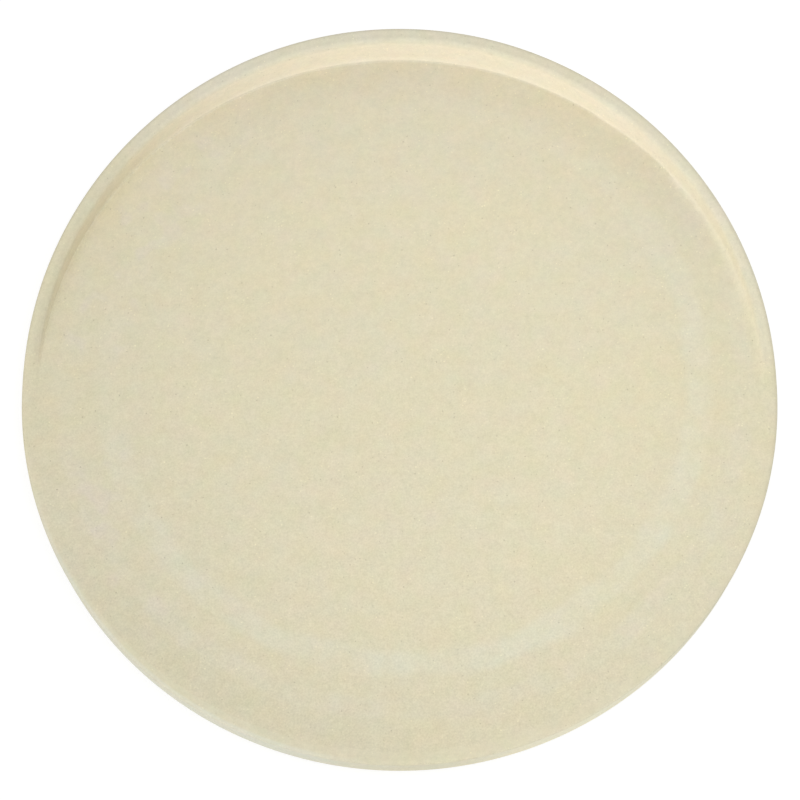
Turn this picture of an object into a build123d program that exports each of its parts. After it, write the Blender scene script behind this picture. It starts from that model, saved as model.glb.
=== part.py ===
"""Round pizza stone with a raised lip along its back and a ramp along its front.

The stone is one pressed and fired piece of cordierite. The origin is the middle of its underside,
+Z is up, and +Y points to the back, where the lip is highest.
"""

import os
from math import radians, tan

from build123d import *

os.makedirs("parts", exist_ok=True)

# Driving dimensions, in millimetres and degrees
outer_diameter = 340
base_thickness = 17
base_edge_rounding = 2.5

# The lip grows out of the baking face at both sides and is highest at the very back
lip_rise = 20
lip_width = 7.7
lip_draft_angle = 2
crest_inner_share = 0.34
crest_outer_share = 0.24

# The ramp bevels the front edge, so that a pizza slides on and off
ramp_setback = 6
ramp_slope_angle = 12
ramp_edge_rounding = 2

# How far blanks reach past the surface that trims them
overrun = 5

# The start of each round face is turned to one side, so that no two of them meet
wall_turn = 45
cone_turn = -45
half_turn = 180

# Sizes that follow from the ones above
outer_radius = outer_diameter / 2
face_radius = outer_radius - lip_width
core_radius = (outer_radius + face_radius) / 2
lip_draft = tan(radians(lip_draft_angle))
ramp_slope = tan(radians(ramp_slope_angle))
crest_width = lip_width - lip_rise * lip_draft
crest_inner_rounding = crest_inner_share * crest_width
crest_outer_rounding = crest_outer_share * crest_width

# The blanks reach past the lowest and the highest point of the lip's crest
blank_reach = 2 * lip_rise + overrun
blank_bottom = base_thickness - blank_reach
blank_top = base_thickness + blank_reach

# The disc and the cone that cuts its ramp end above the highest point of the ramp's edge
ramp_reach = 2 * ramp_setback * ramp_slope + overrun
disc_top = base_thickness + ramp_reach

# The crest is level with the baking face at both ends of the stone's width, and climbs to the back
crest_plane = Plane(
    origin=(0, 0, base_thickness),
    x_dir=(1, 0, 0),
    z_dir=(0, -lip_rise, outer_radius),
)
crest_axis = Axis(crest_plane.origin, crest_plane.z_dir)

# The lip starts as a full ring with a leaning inner wall, cut off by the inclined plane of the
# crest, which is below the baking face in the front half and above it in the back half
with BuildPart() as lip_ring:
    with BuildSketch(Plane.YZ):
        with BuildLine():
            Polyline(
                (face_radius - blank_reach * lip_draft, blank_bottom),
                (outer_radius, blank_bottom),
                (outer_radius, blank_top),
                (face_radius + blank_reach * lip_draft, blank_top),
                close=True,
            )
        make_face()
    revolve(axis=Axis.Z)
    split(bisect_by=crest_plane, keep=Keep.BOTTOM)

    # Both edges of the crest are rounded while they are still closed loops, so the roundings
    # run out into the baking face together with the lip
    crest = lip_ring.faces().filter_by(GeomType.PLANE).sort_by(crest_axis)[-1]
    fillet(crest.edges().sort_by(SortBy.LENGTH)[0], radius=crest_inner_rounding)
    crest = lip_ring.faces().filter_by(GeomType.PLANE).sort_by(crest_axis)[-1]
    fillet(crest.edges().sort_by(SortBy.LENGTH)[-1], radius=crest_outer_rounding)

    # Only the back half is needed, from the underside up; in front the disc has its own edge
    split(bisect_by=Plane.XY, keep=Keep.TOP)
    split(bisect_by=Plane.ZX, keep=Keep.TOP)

# The stone itself is a disc under a cone whose middle is set back by the ramp's width.
# The cone takes a crescent off the front.
with BuildPart() as baking_stone:
    Cylinder(
        outer_radius,
        disc_top,
        align=(Align.CENTER, Align.CENTER, Align.MIN),
        rotation=(0, 0, wall_turn),
    )
    with Locations((0, ramp_setback, 0)):
        Cone(
            bottom_radius=outer_radius + base_thickness / ramp_slope,
            top_radius=outer_radius - ramp_reach / ramp_slope,
            height=disc_top,
            align=(Align.CENTER, Align.CENTER, Align.MIN),
            rotation=(0, 0, cone_turn),
            mode=Mode.INTERSECT,
        )

    # Where the cone meets the round wall is the only edge that is neither a circle nor a line
    fillet(baking_stone.edges().filter_by(GeomType.BSPLINE), radius=ramp_edge_rounding)

    # The flat baking face
    split(bisect_by=Plane.XY.offset(base_thickness), keep=Keep.BOTTOM)

    # In the back half the disc is smaller and ends inside the lip's ring
    split(bisect_by=Plane.ZX, keep=Keep.BOTTOM)
    Cylinder(
        core_radius,
        base_thickness,
        arc_size=half_turn,
        align=(Align.NONE, Align.NONE, Align.MIN),
    )
    add(lip_ring.part)
    fillet(baking_stone.faces().sort_by(Axis.Z)[0].edges(), radius=base_edge_rounding)

baking_stone.part.label = "baking_stone"
export_step(baking_stone.part, "parts/baking_stone.step")
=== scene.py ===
import math

import bmesh
import bpy
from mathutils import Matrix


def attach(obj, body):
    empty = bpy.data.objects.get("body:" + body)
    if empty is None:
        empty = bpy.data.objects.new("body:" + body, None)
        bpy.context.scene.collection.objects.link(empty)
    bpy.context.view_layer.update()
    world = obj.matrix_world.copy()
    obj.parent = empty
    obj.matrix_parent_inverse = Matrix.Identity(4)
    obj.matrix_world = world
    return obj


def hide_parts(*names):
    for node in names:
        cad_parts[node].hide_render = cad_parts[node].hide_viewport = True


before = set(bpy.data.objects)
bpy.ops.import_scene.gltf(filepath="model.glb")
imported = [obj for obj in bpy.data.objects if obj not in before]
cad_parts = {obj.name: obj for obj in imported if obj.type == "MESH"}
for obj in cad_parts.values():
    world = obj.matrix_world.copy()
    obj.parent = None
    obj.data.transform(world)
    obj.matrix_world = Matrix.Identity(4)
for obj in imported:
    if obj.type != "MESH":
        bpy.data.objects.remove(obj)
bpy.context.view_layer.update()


# Stone
# One disc of cordierite, pressed in a mould and fired. A lip grows out of the baking face at the
# two sides and is highest at the back, and a ramp is pressed into the front edge.

mm = 0.001
columns = 288
face_height = 17 * mm
outer_radius = 170 * mm

# Every ring of the stone, in millimetres from its middle line and from the baking face, with its
# place at the two sides, at the very back, on the lip, and at the very front, on the ramp
rings = [
    # side, back, front
    ((26, 0), (26, 0), (26, 0)),
    ((52, 0), (52, 0), (52, 0)),
    ((78, 0), (78, 0), (78, 0)),
    ((100, 0), (100, 0), (100, 0)),
    ((118, 0), (118, 0), (117, 0)),
    ((132, 0), (132, 0), (130, 0)),
    ((143, 0), (143, 0), (139, 0)),
    ((151, 0), (151, 0), (146, 0)),
    ((156.5, 0), (156.5, 0), (151, 0)),
    ((159.5, 0), (159.7, 0), (154.5, 0)),
    ((161.4, 0), (161.5, 0), (157.2, 0)),
    ((162.1, 0), (162.15, 0.08), (159, 0)),
    ((162.4, 0), (162.45, 0.5), (160.2, 0)),
    ((162.65, 0), (162.5, 5), (161, 0)),
    ((162.95, 0), (162.58, 9.5), (161.6, 0)),
    ((163.25, 0), (162.66, 13.8), (162.1, 0)),
    ((163.55, 0), (162.75, 17.1), (162.5, 0)),
    ((163.95, 0), (162.92, 18.05), (162.85, 0)),
    ((164.45, 0), (163.37, 18.87), (163.15, 0)),
    ((165.1, 0), (164.07, 19.4), (163.4, 0)),
    ((165.9, 0), (164.95, 19.58), (163.65, 0)),
    ((167.0, 0), (166.4, 19.62), (163.95, -0.01)),
    ((168.0, -0.02), (167.8, 19.6), (164.4, -0.05)),
    ((168.6, -0.14), (168.45, 19.52), (165.4, -0.16)),
    ((169.1, -0.4), (168.95, 19.36), (166.9, -0.33)),
    ((169.48, -0.78), (169.4, 19.0), (168.1, -0.51)),
    ((169.74, -1.3), (169.73, 18.4), (169.05, -0.76)),
    ((169.85, -1.95), (169.85, 17.6), (169.62, -1.22)),
    ((169.85, -3.2), (169.85, 14), (169.85, -2.1)),
    ((169.85, -5.5), (169.85, 8), (169.85, -5.5)),
    ((169.85, -8.5), (169.85, 1), (169.85, -8.5)),
    ((169.85, -12), (169.85, -7), (169.85, -12)),
    ((169.85, -15.5), (169.85, -15.5), (169.85, -15.5)),
    ((169.74, -16.1), (169.74, -16.1), (169.74, -16.1)),
    ((169.42, -16.6), (169.42, -16.6), (169.42, -16.6)),
    ((168.9, -16.92), (168.9, -16.92), (168.9, -16.92)),
    ((168.2, -17), (168.2, -17), (168.2, -17)),
    ((158, -17), (158, -17), (158, -17)),
    ((140, -17), (140, -17), (140, -17)),
    ((112, -17), (112, -17), (112, -17)),
    ((82, -17), (82, -17), (82, -17)),
    ((52, -17), (52, -17), (52, -17)),
    ((26, -17), (26, -17), (26, -17)),
]

bpy.ops.object.select_all(action="DESELECT")
bpy.ops.mesh.primitive_circle_add(
    vertices=columns, radius=rings[0][0][0] * mm, fill_type="NOTHING", location=(0, 0, face_height)
)
stone = bpy.context.object
stone.name = "pizza_stone"
stone.data.name = "pizza_stone"
bpy.ops.object.transform_apply(location=True, rotation=False, scale=False)
bpy.ops.object.mode_set(mode="EDIT")
bpy.ops.mesh.select_mode(type="VERT")
bpy.ops.mesh.select_all(action="SELECT")

# The rings are drawn out one from another, as on a potter's wheel
for before, after in zip(rings, rings[1:]):
    rise = (after[0][1] - before[0][1]) * mm
    spread = after[0][0] / before[0][0]
    bpy.ops.mesh.extrude_edges_move(TRANSFORM_OT_translate={"value": (0, 0, rise)})
    bpy.ops.transform.resize(value=(spread, spread, 1), center_override=(0, 0, 0))


def points_of(ring):
    """The numbers of the points of a ring that has not been shaped yet."""
    radius = ring[0][0] * mm
    height = face_height + ring[0][1] * mm
    mesh = bmesh.from_edit_mesh(stone.data)
    near = 0.02 * mm
    found = []
    for point in mesh.verts:
        out = math.hypot(point.co.x, point.co.y)
        if abs(out - radius) < near and abs(point.co.z - height) < near:
            found.append(point.index)
    return found


def pick(numbers, beyond=None, ahead=None):
    """Selects these points, all of them, those behind y = beyond, or those before y = ahead."""
    bpy.ops.mesh.select_all(action="DESELECT")
    mesh = bmesh.from_edit_mesh(stone.data)
    mesh.verts.ensure_lookup_table()
    for number in numbers:
        point = mesh.verts[number]
        if beyond is not None and point.co.y <= beyond:
            continue
        if ahead is not None and point.co.y >= ahead:
            continue
        point.select = True
    mesh.select_flush_mode()
    bmesh.update_edit_mesh(stone.data)


members = [points_of(ring) for ring in rings]
hair = 0.01 * mm

# The back half of each ring is lifted about a few lines near the middle, so that the lip starts
# softly, and the front half is lowered in the same way, to the ramp
hinge_lines = (0, 5 * mm, 10 * mm)
mean_hinge = sum(hinge_lines) / len(hinge_lines) / mm
for ring, numbers in zip(rings, members):
    (side_radius, side_height), (back_radius, back_height), (front_radius, front_height) = ring
    lift = back_height - side_height
    if lift:
        slope = lift / (side_radius - mean_hinge)
        turn = math.atan(slope) / len(hinge_lines)
        height = face_height + side_height * mm
        for line in hinge_lines:
            pick(numbers, beyond=line + hair)
            bpy.ops.transform.rotate(
                value=-turn, orient_axis="X", center_override=(0, line, height)
            )
    pick(numbers, beyond=hair)
    mesh = bmesh.from_edit_mesh(stone.data)
    reach = max(mesh.verts[n].co.y for n in numbers)
    bpy.ops.transform.resize(value=(1, back_radius * mm / reach, 1), center_override=(0, 0, 0))
    drop = side_height - front_height
    if drop:
        turn = math.atan(drop / side_radius)
        height = face_height + side_height * mm
        pick(numbers, ahead=-hair)
        bpy.ops.transform.rotate(value=-turn, orient_axis="X", center_override=(0, 0, height))
    pick(numbers, ahead=-hair)
    mesh = bmesh.from_edit_mesh(stone.data)
    reach = -min(mesh.verts[n].co.y for n in numbers)
    bpy.ops.transform.resize(value=(1, front_radius * mm / reach, 1), center_override=(0, 0, 0))


def pick_wall(first, last, outermost):
    """Selects the inner wall of the lip between two directions, out to this radius."""
    innermost = 160.8 * mm
    bpy.ops.mesh.select_all(action="DESELECT")
    mesh = bmesh.from_edit_mesh(stone.data)
    for point in mesh.verts:
        out = math.hypot(point.co.x, point.co.y)
        direction = math.degrees(math.atan2(point.co.y, point.co.x))
        on_wall = innermost < out < outermost and point.co.z > face_height / 2
        if on_wall and first < direction < last:
            point.select = True
    mesh.select_flush_mode()
    bmesh.update_edit_mesh(stone.data)


# Toward its right end the lip is narrower and softer, as the mould is worn there
outward = 1.0021
softening = 0.5
passes = 4
inner_part = 166.3 * mm
whole_rounding = 167.4 * mm
for first, last in ((-8, 52), (-2, 44), (3, 36)):
    pick_wall(first, last, inner_part)
    bpy.ops.transform.resize(value=(outward, outward, 1), center_override=(0, 0, 0))
for first, last in ((-14, 56), (-14, 40), (-14, 30), (-14, 20)):
    pick_wall(first, last, whole_rounding)
    bpy.ops.mesh.vertices_smooth(factor=softening, repeat=passes)

# Both middles are closed by a grid
for numbers in (members[0], members[-1]):
    pick(numbers)
    bpy.ops.mesh.fill_grid(span=columns // 4)

same_place = 0.005 * mm
bpy.ops.mesh.select_all(action="SELECT")
bpy.ops.mesh.remove_doubles(threshold=same_place)
bpy.ops.mesh.normals_make_consistent(inside=False)
bpy.ops.object.mode_set(mode="OBJECT")
sharpest_smooth = math.radians(50)
bpy.ops.object.shade_smooth_by_angle(angle=sharpest_smooth)

# Fired cordierite: cream, dry and finely grained, mottled by the kiln, with a pale ring of bloom
# on the baking face where the stone was stacked
stone_finish = bpy.data.materials.new("fired_stone")
stone_finish.use_nodes = True
nodes = stone_finish.node_tree.nodes
links = stone_finish.node_tree.links
shader = nodes["Principled BSDF"]
place = nodes.new("ShaderNodeTexCoord").outputs["Object"]
noise_middle = 0.5


def reckon(operation, first, second=0.0):
    """A sum on one or two values, each a number or another node's output."""
    step = nodes.new("ShaderNodeMath")
    step.operation = operation
    for socket, value in zip(step.inputs, (first, second)):
        if isinstance(value, (int, float)):
            socket.default_value = value
        else:
            links.new(value, socket)
    return step.outputs["Value"]


def fade(value, low, high):
    """0 below the value low and 1 above the value high, and a soft step between them."""
    step = nodes.new("ShaderNodeMapRange")
    step.interpolation_type = "SMOOTHSTEP"
    links.new(value, step.inputs["Value"])
    step.inputs["From Min"].default_value = low
    step.inputs["From Max"].default_value = high
    return step.outputs["Result"]


def inverse(share):
    """What is left of 1 when this share is taken."""
    return reckon("SUBTRACT", 1.0, share)


def moved(shift):
    """The place in the stone, moved so far that two patterns of one size do not line up."""
    step = nodes.new("ShaderNodeVectorMath")
    step.operation = "ADD"
    links.new(place, step.inputs[0])
    step.inputs[1].default_value = (shift, -shift, shift)
    return step.outputs["Vector"]


def clouds(size, detail, shift):
    """Cloudy noise about 0, with clouds of this size."""
    noise = nodes.new("ShaderNodeTexNoise")
    links.new(moved(shift), noise.inputs["Vector"])
    noise.inputs["Scale"].default_value = 1 / size
    noise.inputs["Detail"].default_value = detail
    return reckon("SUBTRACT", noise.outputs["Fac"], noise_middle)


def spots(spacing, radius, share, shift):
    """Small round spots of this radius, one in a share of the cells of this spacing."""
    cells = nodes.new("ShaderNodeTexVoronoi")
    links.new(moved(shift), cells.inputs["Vector"])
    cells.inputs["Scale"].default_value = 1 / spacing
    core = 0.4 * radius
    weakest = 0.4
    near = inverse(fade(cells.outputs["Distance"], low=core / spacing, high=radius / spacing))
    chance = nodes.new("ShaderNodeSeparateColor")
    links.new(cells.outputs["Color"], chance.inputs["Color"])
    kept = reckon("LESS_THAN", chance.outputs["Red"], share)
    above_weakest = reckon("MULTIPLY", chance.outputs["Green"], 1 - weakest)
    weight = reckon("ADD", above_weakest, weakest)
    return reckon("MULTIPLY", reckon("MULTIPLY", near, kept), weight)


def stain(colours, amount, red, green, blue):
    """Adds this share of red, green and blue to the colours, by the amount at each place."""
    tint = nodes.new("ShaderNodeVectorMath")
    tint.operation = "SCALE"
    tint.inputs[0].default_value = (red, green, blue)
    links.new(amount, tint.inputs["Scale"])
    total = nodes.new("ShaderNodeVectorMath")
    total.operation = "ADD"
    links.new(colours, total.inputs[0])
    links.new(tint.outputs["Vector"], total.inputs[1])
    return total.outputs["Vector"]


axes = nodes.new("ShaderNodeSeparateXYZ")
links.new(place, axes.inputs["Vector"])
across, along, up = axes.outputs["X"], axes.outputs["Y"], axes.outputs["Z"]


def distance_from(x, y):
    """The distance from the upright line through x and y."""
    aside = reckon("POWER", reckon("SUBTRACT", across, x), 2.0)
    ahead = reckon("POWER", reckon("SUBTRACT", along, y), 2.0)
    return reckon("SQRT", reckon("ADD", aside, ahead))


def toward(degrees):
    """1 at the edge of the stone in this direction, 0 in the middle and -1 at the other edge."""
    direction = math.radians(degrees)
    aside = reckon("MULTIPLY", across, math.cos(direction) / outer_radius)
    ahead = reckon("MULTIPLY", along, math.sin(direction) / outer_radius)
    return reckon("ADD", aside, ahead)


def ring_at(distance, radius, half_width):
    """1 on a ring of this radius, fading to 0 at the half width on both sides."""
    core = 0.35 * half_width
    off = reckon("ABSOLUTE", reckon("SUBTRACT", distance, radius))
    return inverse(fade(off, low=core, high=half_width))


body = nodes.new("ShaderNodeRGB")
body.outputs[0].default_value = (0.731, 0.674, 0.486, 1)
even = nodes.new("ShaderNodeCombineXYZ")
for axis in ("X", "Y", "Z"):
    even.inputs[axis].default_value = 1
shades = even.outputs["Vector"]

# The ramp is pressed smoother than the face
from_axis = distance_from(x=0, y=0)
below_face = inverse(fade(up, low=face_height - 0.1 * mm, high=face_height - 0.01 * mm))
on_ramp = reckon("MULTIPLY", below_face, inverse(fade(from_axis, low=169 * mm, high=169.6 * mm)))
on_ramp = reckon("MULTIPLY", on_ramp, fade(up, low=face_height - 5 * mm, high=face_height - 4 * mm))

# The pressed grain, from the finest to the size of a lentil, coarser toward the front
at_back = 0.56
gain_at_front = 0.6
loss_on_ramp = 0.4
frontward = fade(toward(265), low=-0.8, high=0.9)
coarseness = reckon("ADD", at_back, reckon("MULTIPLY", frontward, gain_at_front))
coarseness = reckon("MULTIPLY", coarseness, inverse(reckon("MULTIPLY", on_ramp, loss_on_ramp)))
finest = reckon("MULTIPLY", clouds(size=0.8 * mm, detail=3.0, shift=1.0), coarseness)
fine = clouds(size=2.2 * mm, detail=2.0, shift=2.0)
medium = clouds(size=6 * mm, detail=1.0, shift=3.0)
coarse = clouds(size=14 * mm, detail=1.0, shift=4.0)
shades = stain(shades, finest, red=0.28, green=0.28, blue=0.28)
shades = stain(shades, fine, red=0.14, green=0.14, blue=0.145)
shades = stain(shades, medium, red=0.07, green=0.07, blue=0.075)
shades = stain(shades, coarse, red=0.03, green=0.03, blue=0.03)

# Pale yellowish flecks in loose groups, and dark pinholes
groups = fade(clouds(size=9 * mm, detail=1.0, shift=12.0), low=-0.06, high=0.14)
flecks = spots(spacing=1.9 * mm, radius=0.46 * mm, share=0.65, shift=5.0)
shades = stain(shades, reckon("MULTIPLY", flecks, groups), red=0.2, green=0.195, blue=0.145)
pinholes = spots(spacing=2.6 * mm, radius=0.42 * mm, share=0.4, shift=6.0)
shades = stain(shades, pinholes, red=-0.17, green=-0.17, blue=-0.17)

# Greenish and peach mottling
mottle = clouds(size=9 * mm, detail=2.0, shift=7.0)
shades = stain(shades, mottle, red=0.085, green=-0.02, blue=0.0)
drift = clouds(size=11 * mm, detail=2.0, shift=8.0)
shades = stain(shades, drift, red=0.0, green=0.0, blue=0.13)
wide = clouds(size=70 * mm, detail=1.0, shift=9.0)
shades = stain(shades, wide, red=0.03, green=0.01, blue=-0.07)

# The ring of bloom, where another stone lay on this one in the kiln: a strong one, and a faint one
# outside it, both strongest at the front and broken at the back left
waver = 7 * mm
patchiness = 3.2
ripple = reckon("MULTIPLY", clouds(size=30 * mm, detail=2.0, shift=10.0), waver)
from_ring_middle = reckon("ADD", distance_from(x=2 * mm, y=6.5 * mm), ripple)
strength = fade(toward(290), low=-0.95, high=0.55)
patches = reckon("MULTIPLY", clouds(size=16 * mm, detail=2.0, shift=11.0), patchiness)
patches = reckon("ADD", 1.0, patches)
strength = reckon("MULTIPLY", strength, patches)
on_face = fade(up, low=face_height - 0.5 * mm, high=face_height - 0.1 * mm)
strength = reckon("MULTIPLY", strength, on_face)
bloom = reckon("MULTIPLY", ring_at(from_ring_middle, radius=133 * mm, half_width=8 * mm), strength)
shades = stain(shades, bloom, red=0.006, green=0.03, blue=0.074)
faint_ring = ring_at(from_ring_middle, radius=153 * mm, half_width=6 * mm)
faint_bloom = reckon("MULTIPLY", faint_ring, strength)
shades = stain(shades, faint_bloom, red=0.0, green=0.006, blue=0.035)

# At the left the bloom is only small lilac patches
broad_ring = ring_at(from_axis, radius=140 * mm, half_width=24 * mm)
scattered = reckon("MULTIPLY", broad_ring, fade(toward(172), low=0.35, high=0.75))
lilac_clouds = fade(clouds(size=12 * mm, detail=1.0, shift=13.0), low=0.06, high=0.2)
scattered = reckon("MULTIPLY", scattered, lilac_clouds)
shades = stain(shades, scattered, red=0.01, green=0.0, blue=0.065)

# The rim is a little darker than the middle, less so at the left: painted shade for light that
# falls off toward the edge. The back is cooler than the front, the front right is paler with
# painted light, and a band before the ramp is duller.
# Painted shade toward the rim, less of it at the left
spared_at_most = 0.5
spared = reckon("MULTIPLY", fade(toward(160), low=0.3, high=0.95), spared_at_most)
rim = reckon("MULTIPLY", fade(from_axis, low=80 * mm, high=168 * mm), inverse(spared))
shades = stain(shades, rim, red=-0.04, green=-0.04, blue=-0.04)
shades = stain(shades, fade(toward(90), low=0.2, high=0.9), red=0.0, green=0.0, blue=0.022)
# Painted light on the front right of the face
shades = stain(shades, fade(toward(290), low=0.0, high=0.8), red=0.014, green=0.014, blue=0.014)
band = fade(from_axis, low=146 * mm, high=156 * mm)
band = reckon("MULTIPLY", band, fade(toward(238), low=0.72, high=0.93))
shades = stain(shades, band, red=-0.025, green=-0.025, blue=-0.025)

# The inner wall of the lip is paler and warmer than the face, mostly at the back and the right,
# which is in part the stone and in part light that the plain lamps do not give.
# The crest is cooler at the right and duller at the left. Painted shade darkens the inner rounding
# of its edge, and the face along the foot of the lip.
above = fade(up, low=face_height + 0.05 * mm, high=face_height + 1.6 * mm)
crest_rise = 19.6 * mm
crest_radius = 168 * mm
crest_height = reckon("ADD", face_height, reckon("MULTIPLY", along, crest_rise / crest_radius))
down_from_crest = fade(reckon("SUBTRACT", crest_height, up), low=0.2 * mm, high=3 * mm)
wall = reckon("MULTIPLY", above, down_from_crest)
wall = reckon("MULTIPLY", wall, inverse(fade(from_axis, low=165.6 * mm, high=166.6 * mm)))
sunny = fade(toward(83), low=0.4, high=0.9)
shades = stain(shades, reckon("MULTIPLY", wall, sunny), red=0.102, green=0.107, blue=0.183)
shades = stain(shades, wall, red=0.03, green=0.018, blue=0.032)
crest = reckon("MULTIPLY", above, inverse(down_from_crest))
cool_crest = reckon("MULTIPLY", crest, fade(toward(60), low=-0.05, high=0.45))
shades = stain(shades, cool_crest, red=0.005, green=0.02, blue=0.06)
# Painted shade on the inner rounding of the crest
inner_edge_shade = reckon("MULTIPLY", crest, inverse(fade(from_axis, low=165 * mm, high=167.5 * mm)))
shades = stain(shades, inner_edge_shade, red=-0.06, green=-0.06, blue=-0.06)
left_crest = reckon("MULTIPLY", crest, fade(toward(158), low=0.78, high=0.95))
shades = stain(shades, left_crest, red=-0.03, green=-0.025, blue=-0.04)
# Painted shade in the corner along the foot of the lip, mostly at the back and the right
foot = fade(from_axis, low=135 * mm, high=161 * mm)
foot = reckon("MULTIPLY", foot, fade(toward(75), low=0.35, high=0.85))
inside = reckon("MULTIPLY", inverse(above), inverse(fade(from_axis, low=165 * mm, high=168 * mm)))
foot = reckon("MULTIPLY", foot, inside)
shades = stain(shades, foot, red=-0.08, green=-0.082, blue=-0.045)

# At the right the face is yellower close to the lip
yellow = fade(from_axis, low=125 * mm, high=155 * mm)
yellow = reckon("MULTIPLY", yellow, fade(toward(33), low=0.6, high=0.85))
yellow = reckon("MULTIPLY", yellow, inside)
shades = stain(shades, yellow, red=0.002, green=0.004, blue=-0.013)

# A thin shade along the foot of the lip at the left, which the plain lamps do not give
corner = ring_at(distance_from(x=0, y=-4.2 * mm), radius=164.1 * mm, half_width=1.9 * mm)
foot_shade = reckon("MULTIPLY", corner, fade(toward(158), low=0.8, high=0.94))
shades = stain(shades, foot_shade, red=-0.028, green=-0.031, blue=-0.032)

# The ramp is paler and cooler at the front left
pale_ramp = reckon("MULTIPLY", on_ramp, fade(toward(232), low=0.85, high=0.96))
shades = stain(shades, pale_ramp, red=0.0, green=0.02, blue=0.03)

# The side wall is paler and cooler at the front, most of all at the front right: painted cool light
# at the front, painted light along its lower part and more painted light at the front right. The
# edge above it has painted cool light at the front left, painted shade at the very front and
# painted light at the right.
side = inverse(fade(up, low=face_height - 3 * mm, high=face_height - 1 * mm))
side = reckon("MULTIPLY", side, fade(from_axis, low=167 * mm, high=169 * mm))
side = reckon("MULTIPLY", side, fade(toward(270), low=-0.1, high=0.55))
# Painted cool light on the side wall at the front
shades = stain(shades, side, red=0.0, green=0.025, blue=0.08)
# Painted light on the lower part of the side wall
low_side_light = reckon("MULTIPLY", side, inverse(fade(up, low=1 * mm, high=7 * mm)))
shades = stain(shades, low_side_light, red=0.06, green=0.06, blue=0.06)
# Painted light on the side wall at the front right
side_fill_light = reckon("MULTIPLY", side, fade(toward(315), low=0.75, high=0.97))
shades = stain(shades, side_fill_light, red=0.2, green=0.2, blue=0.2)
edge = fade(from_axis, low=167.6 * mm, high=168.9 * mm)
# Painted cool light on the edge at the front left
cool_edge_light = reckon("MULTIPLY", edge, fade(toward(230), low=0.78, high=0.96))
shades = stain(shades, cool_edge_light, red=-0.005, green=0.03, blue=0.115)
# Painted shade on the edge at the very front
edge_shade = reckon("MULTIPLY", edge, fade(toward(266), low=0.9, high=0.98))
shades = stain(shades, edge_shade, red=-0.015, green=-0.01, blue=-0.01)
# Painted light on the outer rounding at the right
edge_light = fade(from_axis, low=168.6 * mm, high=169.7 * mm)
edge_light = reckon("MULTIPLY", edge_light, fade(toward(342), low=0.45, high=0.8))
shades = stain(shades, edge_light, red=0.055, green=0.075, blue=0.09)

tinted = nodes.new("ShaderNodeVectorMath")
tinted.operation = "MULTIPLY"
links.new(body.outputs["Color"], tinted.inputs[0])
links.new(shades, tinted.inputs[1])
links.new(tinted.outputs["Vector"], shader.inputs["Base Color"])

# Dry and rough all over, a little smoother where the grain is closed
mean_roughness = 0.9
roughness_swing = 0.2
dryness = reckon("ADD", mean_roughness, reckon("MULTIPLY", fine, roughness_swing))
links.new(dryness, shader.inputs["Roughness"])
shader.inputs["Specular IOR Level"].default_value = 0.3

# The grain and the pinholes are felt as well as seen, and the face waves very slightly. Their
# heights are in millimetres.
relief_height = reckon("MULTIPLY", finest, 0.1)
for pattern, rise in ((fine, 0.04), (medium, 0.05), (pinholes, -0.12)):
    relief_height = reckon("ADD", relief_height, reckon("MULTIPLY", pattern, rise))
relief = nodes.new("ShaderNodeBump")
relief.inputs["Strength"].default_value = 1
relief.inputs["Distance"].default_value = mm
links.new(relief_height, relief.inputs["Height"])
links.new(relief.outputs["Normal"], shader.inputs["Normal"])
stone.data.materials.append(stone_finish)

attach(stone, "root")
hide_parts("baking_stone")


# Floor
# A plain white sheet, a hair under the stone, so that no two faces share one plane. The camera
# sees it as white, and it keeps the stone's soft shadow.


def seen_directly():
    """1 where the surface itself is seen, also in a mirror or through glass, and 0 elsewhere."""
    rays = nodes.new("ShaderNodeLightPath")
    total = rays.outputs["Is Camera Ray"]
    for kind in ("Is Glossy Ray", "Is Transmission Ray"):
        larger = nodes.new("ShaderNodeMath")
        larger.operation = "MAXIMUM"
        links.new(total, larger.inputs[0])
        links.new(rays.outputs[kind], larger.inputs[1])
        total = larger.outputs["Value"]
    return total


floor_height = -0.05 * mm
bpy.ops.object.select_all(action="DESELECT")
bpy.ops.mesh.primitive_plane_add(size=6, location=(0, 0, floor_height))
floor = bpy.context.object
floor.name = "floor"
sheet = bpy.data.materials.new("white_sheet")
sheet.use_nodes = True
nodes = sheet.node_tree.nodes
links = sheet.node_tree.links
nodes.clear()
plain = nodes.new("ShaderNodeBsdfDiffuse")
plain.inputs["Color"].default_value = (0.7, 0.7, 0.7, 1)
dim = nodes.new("ShaderNodeBsdfDiffuse")
dim.inputs["Color"].default_value = (0.3, 0.3, 0.3, 1)
glow = nodes.new("ShaderNodeEmission")
glow.inputs["Color"].default_value = (1, 1, 1, 1)
glow.inputs["Strength"].default_value = 0.78
seen = nodes.new("ShaderNodeAddShader")
links.new(dim.outputs["BSDF"], seen.inputs[0])
links.new(glow.outputs["Emission"], seen.inputs[1])
choice = nodes.new("ShaderNodeMixShader")
links.new(seen_directly(), choice.inputs["Fac"])
links.new(plain.outputs["BSDF"], choice.inputs[1])
links.new(seen.outputs["Shader"], choice.inputs[2])
output = nodes.new("ShaderNodeOutputMaterial")
links.new(choice.outputs["Shader"], output.inputs["Surface"])
floor.data.materials.append(sheet)


# Light
# A pale room gives most of the light. A large soft lamp stands low at the front left, and a small
# one hangs over the right half of the stone.

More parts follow.
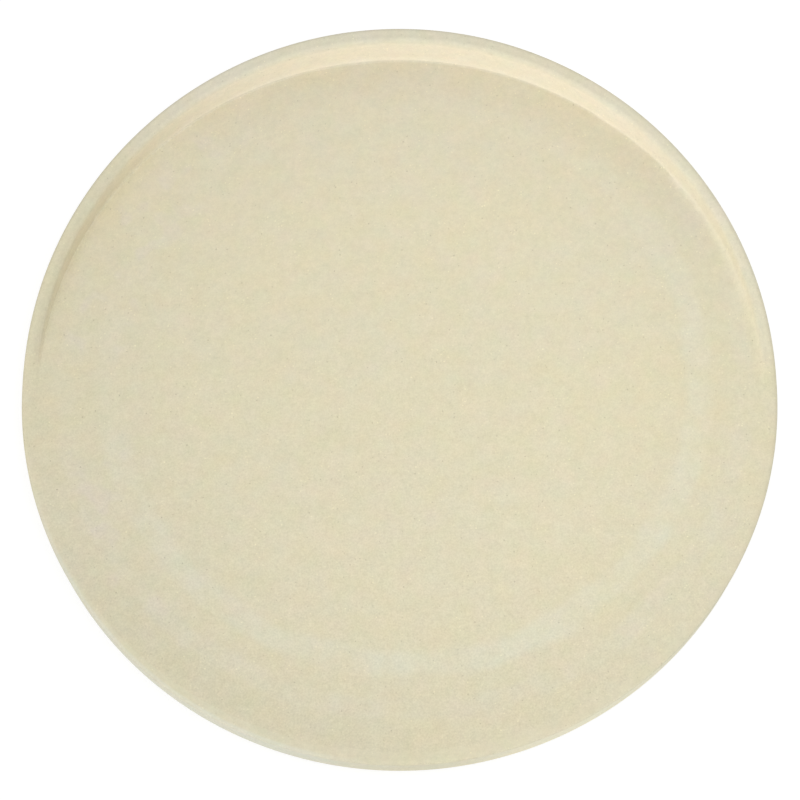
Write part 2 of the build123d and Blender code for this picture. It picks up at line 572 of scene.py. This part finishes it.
world = bpy.data.worlds.new("pale_room")
bpy.context.scene.world = world
world.use_nodes = True
nodes = world.node_tree.nodes
links = world.node_tree.links
nodes.clear()
room = nodes.new("ShaderNodeBackground")
room.inputs["Color"].default_value = (1, 1, 1, 1)
room.inputs["Strength"].default_value = 0.62
backdrop = nodes.new("ShaderNodeBackground")
backdrop.inputs["Color"].default_value = (1, 1, 1, 1)
backdrop.inputs["Strength"].default_value = 1.0
choice = nodes.new("ShaderNodeMixShader")
links.new(seen_directly(), choice.inputs["Fac"])
links.new(room.outputs["Background"], choice.inputs[1])
links.new(backdrop.outputs["Background"], choice.inputs[2])
output = nodes.new("ShaderNodeOutputWorld")
links.new(choice.outputs["Shader"], output.inputs["Surface"])

# The low lamp, as wide as a large softbox
lamp_azimuth = math.radians(241)
lamp_elevation = math.radians(12)
bpy.ops.object.light_add(type="SUN", location=(-0.8, -1.2, 0.3))
lamp = bpy.context.object
lamp.name = "low_softbox"
lamp.data.angle = math.radians(30)
lamp.data.energy = 1.25
lamp.rotation_euler = (math.pi / 2 - lamp_elevation, 0, lamp_azimuth + math.pi / 2)

# The lamp overhead, over the right half of the stone
bpy.ops.object.light_add(type="AREA", location=(0.13, 0, 0.6))
overhead = bpy.context.object
overhead.name = "overhead_lamp"
overhead.data.shape = "DISK"
overhead.data.size = 0.5
overhead.data.energy = 1.33
overhead.visible_camera = False


# Camera
# It looks down on the stone from the front, as in the photograph.

camera_tilt = math.radians(18.67)
camera_distance = 1.02
focal_pixels = 2270
picture_pixels = 800
sensor_width = 36
face_right_by = -0.4
face_up_by = 12.9
bpy.ops.object.camera_add(
    location=(
        0,
        -camera_distance * math.sin(camera_tilt),
        face_height + camera_distance * math.cos(camera_tilt),
    )
)
camera = bpy.context.object
camera.name = "camera"
camera.data.sensor_width = sensor_width
camera.data.lens = sensor_width * focal_pixels / picture_pixels
camera.rotation_euler = (
    camera_tilt - math.atan(face_up_by / focal_pixels),
    math.atan(face_right_by / focal_pixels),
    0,
)
bpy.context.scene.camera = camera
bpy.context.scene.view_settings.view_transform = "Standard"
